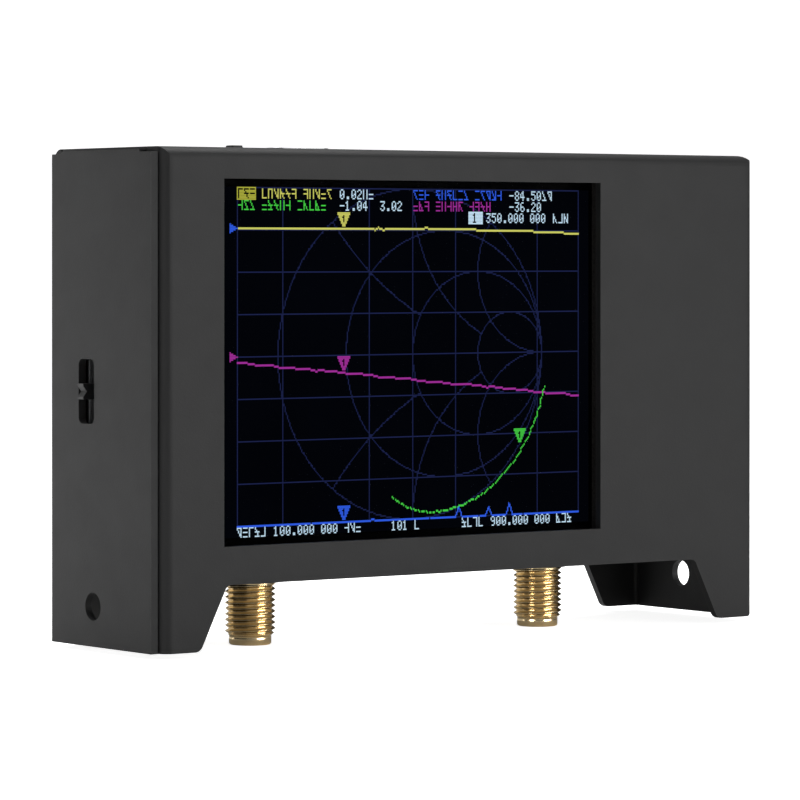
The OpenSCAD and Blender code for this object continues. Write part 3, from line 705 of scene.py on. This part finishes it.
def build_port_contact(number):
    """Socket of four fingers, a solid middle and a tail that reaches the board."""
    x, y, end_z, _ = port_place(number)
    face_z = end_z + port_mouth_l
    flange_top = insulator_high.z
    socket_r = 0.47
    contact_r = 0.635
    slot_half = 9
    slot_end = face_z + 2.2
    socket_end = face_z + 3.0
    tail_r = 0.39
    tail_end = flange_top + 2.7
    centre_r = 0.02
    contact = Shape()
    for quarter in range(4):
        start = 90 * quarter + slot_half
        end = start + 90 - 2 * slot_half
        arc_block(contact, x, y, socket_r, contact_r, start, end, face_z + 0.02, slot_end)
    contact.spin(x, y, [
        (socket_r, slot_end), (contact_r, slot_end), (contact_r, socket_end), (socket_r, socket_end),
    ], 48)
    contact.spin(x, y, [
        (centre_r, socket_end), (contact_r, socket_end), (contact_r, flange_top - 0.2),
        (tail_r, flange_top - 0.2), (tail_r, tail_end - 0.2), (0.3, tail_end), (centre_r, tail_end),
    ], 48)
    name = f"port_{number}_contact"
    contact.make(name, CONTACT_GOLD, "root", ("port_contacts",), 0.0, 40)


def build_ports():
    for number in (1, 2):
        build_port_shell(number)
        build_port_flange(number)
        build_port_insulator(number)
        build_port_contact(number)


def build_port_nuts():
    """Hexagonal nuts whose corners are turned down towards both faces."""
    half_flats = 4.0
    corner_cut = half_flats * 0.97
    cut_slope = 1.9
    turn = math.radians(12)
    bore_r = 3.0
    ease = 0.25
    levels = (0.0, 0.06, 0.12, 0.2, 0.28)

    def hexagon(r, z, angle):
        if r < half_flats - 0.01:
            return r
        reach = min(z - nut_low.z, nut_high.z - z)
        sector = (angle - turn + math.pi / 6) % (math.pi / 3) - math.pi / 6
        return min(half_flats / math.cos(sector), corner_cut + reach * cut_slope)

    nuts = Shape()
    for number in (1, 2):
        x, y = port_place(number)[:2]
        rows = [(bore_r + ease, nut_low.z)]
        rows += [(half_flats, nut_low.z + level) for level in levels]
        rows += [(half_flats, nut_high.z - level) for level in levels[::-1]]
        rows += [(bore_r + ease, nut_high.z), (bore_r, nut_high.z - ease), (bore_r, nut_low.z + ease)]
        nuts.spin(x, y, rows, 144, hexagon)
    nuts.make("port_nuts_shown", BLACK_STEEL, "root", ("port_nuts",), 0.0, 32)


def build_port_washers():
    """Lock washers with teeth around their rims."""
    low, high = box("port_washers")
    inner_r = 3.3
    outer_r = 4.45
    tooth_l = 0.55
    tooth_count = 14

    def teeth(r, z, angle):
        cut_back = r > inner_r and math.sin(angle * tooth_count) < -0.25
        return r - tooth_l if cut_back else r

    washers = Shape()
    for number in (1, 2):
        x, y = port_place(number)[:2]
        washers.spin(x, y, [
            (inner_r, low.z), (outer_r, low.z), (outer_r, high.z), (inner_r, high.z),
        ], 224, teeth)
    washers.make("port_washers_shown", BLACK_STEEL, "root", ("port_washers",), 0.0, 32)


# ---- Display ------------------------------------------------------------------

class Raster:
    """Dots of the display by column and row, each with the name of its colour."""

    def __init__(self):
        self.dots = {}

    def dot(self, column, row, colour):
        column, row = int(round(column)), int(round(row))
        if 0 <= column < dot_columns and 0 <= row < dot_rows:
            self.dots[(column, row)] = colour

    def line(self, start, end, colour):
        steps = max(1, int(max(abs(end[0] - start[0]), abs(end[1] - start[1]))))
        for i in range(steps + 1):
            t = i / steps
            self.dot(start[0] + (end[0] - start[0]) * t, start[1] + (end[1] - start[1]) * t, colour)

    def trace(self, points, colour):
        for start, end in zip(points, points[1:]):
            self.line(start, end, colour)

    def circle(self, cx, cy, r, colour, keep=lambda x, y: True):
        steps = int(7 * r)
        for i in range(steps):
            angle = 2 * math.pi * i / steps
            x, y = cx + r * math.cos(angle), cy + r * math.sin(angle)
            if keep(x, y):
                self.dot(x, y, colour)

    def block(self, x, y, w, h, colour):
        for i in range(w):
            for j in range(h):
                self.dot(x + i, y + j, colour)

    def runs(self, colour):
        """(column, row, length) of each unbroken stretch of one colour."""
        found = []
        for row in range(dot_rows):
            column = 0
            while column < dot_columns:
                if self.dots.get((column, row)) != colour:
                    column += 1
                    continue
                start = column
                while self.dots.get((column, row)) == colour:
                    column += 1
                found.append((start, row, column - start))
        return found


# Chart: where its frame stands on the raster, in dots
chart_left = 10
chart_w = 300
chart_h = 232
chart_middle = (chart_left + 150, 116)

# Each figure is seven rows of four dots
FIGURES = {
    "0": ".##. #..# #..# #.## ##.# #..# .##.",
    "1": ".#.. ##.. .#.. .#.. .#.. .#.. ###.",
    "2": ".##. #..# ...# ..#. .#.. #... ####",
    "3": "#### ...# ..#. .##. ...# #..# .##.",
    "4": "..#. .##. #.#. #.#. #### ..#. ..#.",
    "5": "#### #... ###. ...# ...# #..# .##.",
    "6": ".##. #... #... ###. #..# #..# .##.",
    "8": ".##. #..# #..# .##. #..# #..# .##.",
    "9": ".##. #..# #..# .### ...# ...# .##.",
    "-": ".... .... .... #### .... .... ....",
    ".": ".... .... .... .... .... .##. .##.",
    " ": "",
}


def draw_digits(raster, x, y, text, colour):
    """Figures on a pitch of five dots."""
    for index, sign in enumerate(text):
        for j, row in enumerate(FIGURES[sign].split()):
            for i, mark in enumerate(row):
                if mark == "#":
                    raster.dot(x + 5 * index + i, y + j, colour)


def draw_filler(raster, x, y, count, colour, rng):
    """Rows of made-up signs that stand where the display writes words."""
    strokes = (
        [(0, j) for j in range(7)], [(3, j) for j in range(7)], [(i, 0) for i in range(4)],
        [(i, 3) for i in range(4)], [(i, 6) for i in range(4)], [(j // 2, j) for j in range(7)],
    )
    for index in range(count):
        for stroke in rng.sample(strokes, rng.choice((2, 3))):
            for i, j in stroke:
                raster.dot(x + 5 * index + i, y + j, colour)


def draw_marker(raster, x, y, colour):
    """Filled triangle that points down at a trace, with a dark 1 in it."""
    rows = 10
    for j in range(rows):
        half = 5 - j // 2
        row = y - rows - 1 + j
        raster.line((x - half, row), (x + half, row), colour)
    raster.line((x, y - 9), (x, y - 5), "dark")
    raster.dot(x - 1, y - 8, "dark")


def draw_pointer(raster, y, colour):
    """Triangle left of the chart that points at a level."""
    for j in range(-3, 4):
        raster.line((4, y + j), (10 - 2 * abs(j), y + j), colour)


def draw_chart(raster):
    """Rectangular grid with a reflection chart over it."""
    pitch = 29
    cx, cy = chart_middle
    outer = 116
    tip = cx + outer

    def in_outer(x, y):
        return math.hypot(x - cx, y - cy) <= outer

    raster.circle(cx, cy, outer, "grid")
    for r in (pitch, 2 * pitch, 3 * pitch):
        raster.circle(tip - r, cy, r, "grid")
    for r, kept_out in ((58, 0), (116, 29), (232, 58)):
        def keep(x, y, kept_out=kept_out):
            hidden = math.hypot(x - (tip - kept_out), y - cy) < kept_out
            return in_outer(x, y) and not hidden

        for side in (-1, 1):
            raster.circle(tip, cy + side * r, r, "grid", keep)
    right = chart_left + chart_w
    for row in range(chart_h // pitch + 1):
        raster.line((chart_left, row * pitch), (right, row * pitch), "grid")
    for share in (0, 1 / 8, 3 / 8, 1 / 2, 5 / 8, 7 / 8, 1):
        x = chart_left + chart_w * share
        raster.line((x, 0), (x, chart_h), "grid")


def draw_traces(raster, rng):
    """Level, phase, return and reflection curves of a made-up measurement."""
    jitter = (-0.4, 0, 0.4)
    level = 28
    offsets = (
        (0, 0), (115, 0), (117, 1), (120, -1), (124, 1), (128, 0), (159, 0), (162, -1),
        (166, 0), (246, 1), (272, 2), (300, 3),
    )
    raster.trace([(chart_left + x, level + y) for x, y in offsets], "yellow_trace")

    steps = 50
    points = []
    for i in range(steps + 1):
        y = 120 + 28 * i / steps + rng.choice(jitter)
        points.append((chart_left + chart_w * i / steps, y))
    raster.trace(points, "magenta_trace")

    points = [(chart_left, chart_h)]
    for share, rise in ((0.383, 1), (0.636, 7), (0.726, 6), (0.788, 8)):
        at = chart_left + chart_w * share
        points += [(at - 3, chart_h), (at, chart_h - rise), (at + 3, chart_h)]
    raster.trace(points + [(chart_left + chart_w, chart_h)], "blue_trace")

    cx, cy = chart_middle
    steps = 60
    points = []
    for i in range(steps + 1):
        t = i / steps
        angle = math.radians(12 + 88 * t)
        r = 121 - 5 * t - 14 * t ** 5 + rng.choice(jitter)
        points.append((cx + r * math.cos(angle), cy + r * math.sin(angle)))
    raster.trace(points, "green_trace")


def draw_readouts(raster, rng):
    """Read-outs above and below the chart, on lines eight dots apart."""
    first, second, third, last = 1, 9, 17, 233
    raster.block(10, first - 1, 16, 9, "yellow_dim")
    draw_filler(raster, 11, first, 3, "dark", rng)
    for x, y, count, colour in (
        (31, first, 6, "yellow"), (66, first, 5, "yellow"),
        (11, second, 3, "green"), (31, second, 5, "green"), (61, second, 5, "green"),
        (161, first, 3, "blue"), (181, first, 6, "blue"), (216, first, 5, "blue"),
        (161, second, 3, "magenta"), (181, second, 5, "magenta"), (211, second, 4, "magenta"),
        (117, first, 2, "white"), (277, first, 2, "white"), (287, third, 3, "white"),
        (10, last, 5, "white"), (101, last, 3, "white"), (162, last, 1, "white"),
        (204, last, 4, "white"), (290, last, 3, "white"),
    ):
        draw_filler(raster, x, y, count, colour, rng)
    raster.block(210, third - 1, 13, 9, "white")
    draw_digits(raster, 214, third, "1", "dark")
    for x, y, text in (
        (97, first, "0.02"), (97, second, "-1.04"), (132, second, "3.02"),
        (247, first, "-84.50"), (247, second, "-36.20"), (226, third, "350.000 000"),
        (41, last, "100.000 000"), (142, last, "101"), (230, last, "900.000 000"),
    ):
        draw_digits(raster, x, y, text, "white")


def raster_sheet(name, runs, material, y, height):
    """Lit dots as thin strips, one for each unbroken run; height is in dots."""
    gap = 0.012
    half = height * dot_pitch / 2 - gap
    shape = Shape()
    for column, row, length in runs:
        x0 = screen_left + column * dot_pitch
        x1 = screen_left + (column + length) * dot_pitch - gap
        z0 = screen_top - (row + 0.5) * dot_pitch - half
        shape.sheet(rectangle(x0, z0, x1, z0 + 2 * half), y)
    return shape.make(name, material, "root")


def draw_picture():
    """The whole raster, the same on every run."""
    rng = random.Random(7)
    raster = Raster()
    draw_chart(raster)
    draw_traces(raster, rng)
    draw_marker(raster, chart_left + 90, 28, "yellow")
    draw_marker(raster, chart_left + 90, 128, "magenta")
    draw_marker(raster, chart_left + 90, 232, "blue")
    draw_marker(raster, chart_left + 246, 182, "green")
    draw_pointer(raster, 28, "blue")
    draw_pointer(raster, 116, "magenta")
    draw_readouts(raster, rng)
    return raster


def build_picture():
    """Lit dots of each colour over the faintly lit field behind them."""
    raster = draw_picture()
    over_field = 0.008
    over_grid = 0.004
    shades = {
        "grid": (0.012, 0.017, 0.068), "yellow": (0.62, 0.62, 0.13), "yellow_dim": (0.42, 0.42, 0.05),
        "green": (0.06, 0.62, 0.06), "blue": (0.03, 0.11, 0.8), "magenta": (0.36, 0.03, 0.32),
        "white": (0.56, 0.76, 0.92),
    }
    for colour, shade in shades.items():
        material = lit(f"display_{colour}", shade)
        raster_sheet(f"display_{colour}", raster.runs(colour), material, screen_y, 1.0)
        traced = raster.runs(f"{colour}_trace")
        if traced:
            name = f"display_{colour}_trace"
            raster_sheet(name, traced, material, screen_y - over_grid, trace_height)
    right = screen_left + dot_columns * dot_pitch
    bottom = screen_top - dot_rows * dot_pitch
    field = Shape()
    field.sheet(rectangle(screen_left, bottom, right, screen_top), screen_y + over_field)
    glow = lit("display_field", (0.0009, 0.0013, 0.0028), 0.3)
    field.make("display_field", glow, "root")


def build_display():
    build_picture()
    glass = Shape()
    glass.block(lcd_low, lcd_high)
    black = polished_black("display_glass", (0.0012, 0.0012, 0.0015))
    glass.make("display_glass", black, "root", ("lcd_panel",), 0.15)
    film_gap = 0.1
    film = Shape()
    film.block(touch_low, (touch_high.x, touch_high.y - film_gap, touch_high.z))
    film.make("touch_film", touch_film(), "root", ("touch_panel",), 0.1)


# ---- Controls -----------------------------------------------------------------

def build_controls():
    dressed("jog_switch_body", BLACK_NYLON, 0.1)
    dressed("jog_carrier", GREY_NYLON, 0.06, 35, "jog_carrier")
    dressed("jog_lever", BLACK_NYLON, 0.09, 30, "jog_lever")
    dressed("power_switch_body", TIN, 0.1)
    dressed("power_switch_knob", BLACK_NYLON, 0.12, 35, "power_switch_knob")
    dressed("usb_shell", BRIGHT_STEEL, 0.05, 40)
    dressed("usb_tongue", BLACK_NYLON, 0.06)
    build_jog_strip()
    build_usb_contacts()


def build_jog_strip():
    """Tinned cover on the rear of the jog switch, seen edge-on through the slot."""
    low, high = box("jog_switch_body")
    thickness = 0.45
    strip = Shape()
    strip.block((low.x - 0.3, high.y, low.z), (high.x - 0.4, high.y + thickness, high.z))
    strip.make("jog_switch_strip", TIN, "root", (), 0.03)


def build_usb_contacts():
    """Twelve gold strips on each face of the socket's tongue."""
    tongue_top = box("usb_tongue")[1].z
    shell_low, shell_high = box("usb_shell")
    x, y = (shell_low.x + shell_high.x) / 2, (shell_low.y + shell_high.y) / 2
    count = 12
    pitch = 0.5
    half_w = 0.12
    tongue_half = 0.35
    proud = 0.04
    strips = Shape()
    for i in range(count):
        at = x + (i - (count - 1) / 2) * pitch
        for side in (-1, 1):
            faces = sorted((y + side * tongue_half, y + side * (tongue_half + proud)))
            low = (at - half_w, faces[0], tongue_top - 3.2)
            strips.block(low, (at + half_w, faces[1], tongue_top - 0.5))
    strips.make("usb_contacts", CONTACT_GOLD, "root")


def build_lights():
    """Status lamps: ceramic base, tinned ends and a clear lens; the first is off."""
    data = NODES["status_leds"].data
    levels = sorted({round(v.co.z / MM, 2) for v in data.vertices}, reverse=True)
    low, high = box("status_leds")
    x = (low.x + high.x) / 2
    base_half_w = 0.6
    base_t = 0.3
    end_half_w = 0.62
    end_t = 0.32
    end_from, end_to = 0.76, 0.9
    lens_half_w = 0.54
    lens_half_h = 0.74
    hot = (1.0, 0.9, 0.88)
    glow = (1.0, 0.1, 0.13)
    rim = (0.85, 0.0, 0.01)
    unlit = (0.01, 0.0, 0.0)
    black = (0.0, 0.0, 0.0)
    bases = Shape()
    ends = Shape()
    for number in range(4):
        top, bottom = levels[2 * number], levels[2 * number + 1]
        middle = (top + bottom) / 2
        base_low = (x - base_half_w, low.y, bottom + 0.15)
        bases.block(base_low, (x + base_half_w, low.y + base_t, top - 0.15))
        for side in (-1, 1):
            z_low, z_high = sorted((middle + side * end_from, middle + side * end_to))
            ends.block((x - end_half_w, low.y, z_low), (x + end_half_w, low.y + end_t, z_high))
        lens = Shape()
        lens_low = (x - lens_half_w, low.y + base_t, middle - lens_half_h)
        lens.block(lens_low, (x + lens_half_w, high.y, middle + lens_half_h))
        if number == 0:
            material = lamp_lens("lamp_off", unlit, unlit, black, 0.0)
        else:
            material = lamp_lens(f"lamp_{number}", hot, glow, rim, 1.8)
        name = f"lamp_lens_{number + 1}"
        lens.make(name, material, "root", ("status_leds",), 0.12)
    bases.make("lamp_bases", CERAMIC, "root", ("status_leds",), 0.03)
    ends.make("lamp_ends", TIN, "root", (), 0.03)


# ---- Label --------------------------------------------------------------------

def label_point(u, v):
    """Point on the label: u to the reader's right and v down, with the ports up."""
    return (label_low.x + u, label_low.z + v)


def ink_bar(shape, u, v, w, h, y):
    """Upright strip of print with its top left corner at u, v."""
    x, z = label_point(u, v)
    shape.sheet(rectangle(x, z, x + w, z + h), y, back=True)


def ink_line(shape, u, v, length, height, weight, rng, y):
    """Made-up signs in groups of a few, which stand where the label has words."""
    full = u + length - height * 0.5
    at = u
    while at < full:
        for _ in range(rng.randint(3, 8)):
            if at > full:
                break
            wide = height * rng.choice((0.38, 0.5, 0.5, 0.62))
            small = height * rng.choice((0.0, 0.28, 0.28))
            ink_bar(shape, at, v + small, weight, height - small, y)
            if rng.random() < 0.7:
                ink_bar(shape, at + wide - weight, v + height * 0.28, weight, height * 0.72, y)
            for level in rng.sample((0.28, 0.58, 1.0), rng.randint(1, 2)):
                ink_bar(shape, at, v + height * level - weight, wide, weight, y)
            at += wide + height * 0.16
        at += height * 0.34


def ink_emblem(shape, u, v, width, height, y):
    """Bold wave that tightens from left to right, a plain sign for a sweep."""
    steps = 240
    weight = height * 0.24
    swing = (height - weight) / 2
    overlap = 0.06
    points = []
    for i in range(steps + 1):
        t = i / steps
        wave = math.sin(2 * math.pi * (1.0 * t + 1.5 * t * t))
        points.append(Vector((width * t, swing * wave)))
    for start, end in zip(points, points[1:]):
        across = Vector((start.y - end.y, end.x - start.x)).normalized() * (weight / 2)
        ahead = (end - start).normalized() * overlap
        back, front = start - ahead, end + ahead
        corners = [back - across, front - across, front + across, back + across]
        shape.sheet([label_point(u + c.x, v + height / 2 + c.y) for c in corners], y, back=True)


def build_label():
    """White film with rows of made-up print; lengths are those of the label's lines."""
    middle = (label_low + label_high) / 2
    size = label_high - label_low
    corner_r = 2.1
    proud = 0.02
    film = Shape()
    outline = rounded_outline(middle.x, middle.z, size.x, size.z, corner_r)
    film.prism(outline, label_high.y + proud, label_low.y)
    film.make("label_film", label_film(), "root", ("back_label",), 0.02, 50)
    rng = random.Random(21)
    ink = Shape()
    ink_y = label_high.y + proud + 0.012
    emblem_w, emblem_h = 23.2, 4.4
    ink_emblem(ink, (size.x - emblem_w) / 2, 1.9, emblem_w, emblem_h, ink_y)
    thin, plain, bold = 0.19, 0.26, 0.34
    for u, v, length, tall, weight in (
        (1.3, 7.9, 37.4, 1.75, plain), (1.3, 11.0, 25.0, 1.75, plain),
        (1.3, 13.9, 29.8, 1.75, plain), (1.3, 17.0, 20.4, 1.75, plain),
        (1.3, 20.1, 16.2, 1.75, bold), (13.6, 24.2, 23.2, 1.3, thin),
        (2.5, 26.7, 35.2, 1.35, thin),
    ):
        ink_line(ink, u, v, length, tall, weight, rng, ink_y)
    ink.make("label_print", printed_ink(), "root")


# ---- Inside -------------------------------------------------------------------

def finish_inside():
    """Gives each carried-over CAD node its material."""
    materials = {
        "front_standoffs": BRIGHT_STEEL,
        "rear_standoffs": BRASS,
        "backlight_frame": WHITE_FRAME,
        "lcd_flex": POLYIMIDE,
        "screen_pads": GREY_FOAM,
        "main_board": solder_mask(),
        "rf_shield_cans": TIN,
        "rf_chips": CHIP_EPOXY,
        "processor_chip": CHIP_EPOXY,
        "support_chips": CHIP_EPOXY,
        "clock_crystal": TIN,
        "jog_pin": BRIGHT_STEEL,
        "battery_cell": pouch_foil(),
        "battery_pad": WHITE_TAPE,
        "battery_socket": IVORY_NYLON,
        "battery_plug": IVORY_NYLON,
        "battery_leads": RED_SLEEVE,
    }
    for node, material in materials.items():
        data = NODES[node].data
        data.materials.clear()
        data.materials.append(material)


# ---- Studio -------------------------------------------------------------------

def build_stage():
    """Pale floor that curves up into a backdrop behind the object."""
    gap = 0.7  # below the feet, so that the longer ports clear the floor as well
    floor_z = case_low.z - gap
    half_w = 3500
    front_y = -2500
    top_z = 2600
    turn_y = 700
    radius = 400
    steps = 16
    profile = [(front_y, floor_z)]
    for i in range(steps + 1):
        angle = math.radians(90 * i / steps)
        rise = radius * (1 - math.cos(angle))
        profile.append((turn_y + radius * math.sin(angle), floor_z + rise))
    profile.append((turn_y + radius, top_z))
    paper = Shape()
    paper.add(
        [(x, y, z) for y, z in profile for x in (-half_w, half_w)],
        [(2 * i, 2 * i + 1, 2 * i + 3, 2 * i + 2) for i in range(len(profile) - 1)],
    )
    mesh = paper.mesh("studio_floor")
    for face in mesh.polygons:
        face.use_smooth = True
    mesh.materials.append(pale_floor())
    linked("studio_floor", mesh)


def area_light(name, place, target, size, power, only=()):
    """Soft panel aimed at a point; it lights just the pieces named, if any are."""
    data = bpy.data.lights.new(name, "AREA")
    data.shape = "RECTANGLE"
    data.size, data.size_y = size[0] * MM, size[1] * MM
    data.energy = power
    lamp = linked(name, data)
    lamp.visible_camera = False
    lamp.location = Vector(place) * MM
    lamp.rotation_euler = (Vector(target) - Vector(place)).to_track_quat("-Z", "Y").to_euler()
    if only:
        receivers = bpy.data.collections.new(name + "_receivers")
        for piece in only:
            receivers.objects.link(bpy.data.objects[piece])
        lamp.light_linking.receiver_collection = receivers


def build_world():
    """White to the camera and a faint fill for everything else."""
    fill = 0.1
    world = bpy.data.worlds.new("studio")
    bpy.context.scene.world = world
    world.use_nodes = True
    background = world.node_tree.nodes["Background"]
    background.inputs["Color"].default_value = (0.98, 0.99, 1.0, 1.0)
    seen = world.node_tree.nodes.new("ShaderNodeLightPath").outputs["Is Camera Ray"]
    level = world.node_tree.nodes.new("ShaderNodeMapRange")
    level.inputs["To Min"].default_value = fill
    level.inputs["To Max"].default_value = 1.0
    world.node_tree.links.new(seen, level.inputs["Value"])
    world.node_tree.links.new(level.outputs["Result"], background.inputs["Strength"])


def build_lighting():
    """Softboxes above, in front, to the left and behind, and two panels for the gold."""
    build_world()
    area_light("top_softbox", (-60, 120, 560), (0, 0, 0), (420, 320), 3.2)
    area_light("edge_softbox", (70, -20, 230), (-20, -24, 30), (110, 110), 0.14)
    area_light("front_softbox", (290, -570, 130), (0, -24, 0), (500, 340), 1.38)
    area_light("left_softbox", (-390, -150, 10), (-48, -20, 0), (170, 220), 0.17)
    area_light("left_rear_strip", (-80, 50, 0), (-48, -8, 0), (16, 110), 0.011)
    ports = [f"port_{n}_{part}" for n in (1, 2) for part in ("shell", "flange", "contact")]
    area_light("port_left_panel", (-390, -150, 30), (0, -12, -26), (200, 110), 0.85, ports)
    area_light("port_right_panel", (160, -380, 30), (0, -12, -26), (260, 110), 1.1, ports)
    area_light("rear_softbox", (150, 640, 260), (0, 0, 0), (500, 360), 0.14)
    bpy.context.scene.view_settings.view_transform = "Standard"


def build_camera():
    """Looks level past the case, turned to its left side, with a shifted lens."""
    turn = 36.57
    zoom = 1.3
    base_lens = 151.4
    centre_right = 15.5 / 800
    centre_down = 114.4 / 800
    data = bpy.data.cameras.new("camera")
    data.sensor_width = 36.0
    data.lens = base_lens * zoom
    data.shift_x = centre_right * zoom
    data.shift_y = -centre_down * zoom
    data.clip_start = 0.01
    camera = linked("camera", data)
    camera.location = Vector((-340.7, -464.4, 18.0)) * MM
    camera.rotation_euler = (math.radians(90), 0, math.radians(-turn))
    bpy.context.scene.camera = camera


build_case()
build_screws()
build_ports()
build_port_nuts()
build_port_washers()
build_display()
build_controls()
build_lights()
build_label()
finish_inside()
build_stage()
build_lighting()
build_camera()
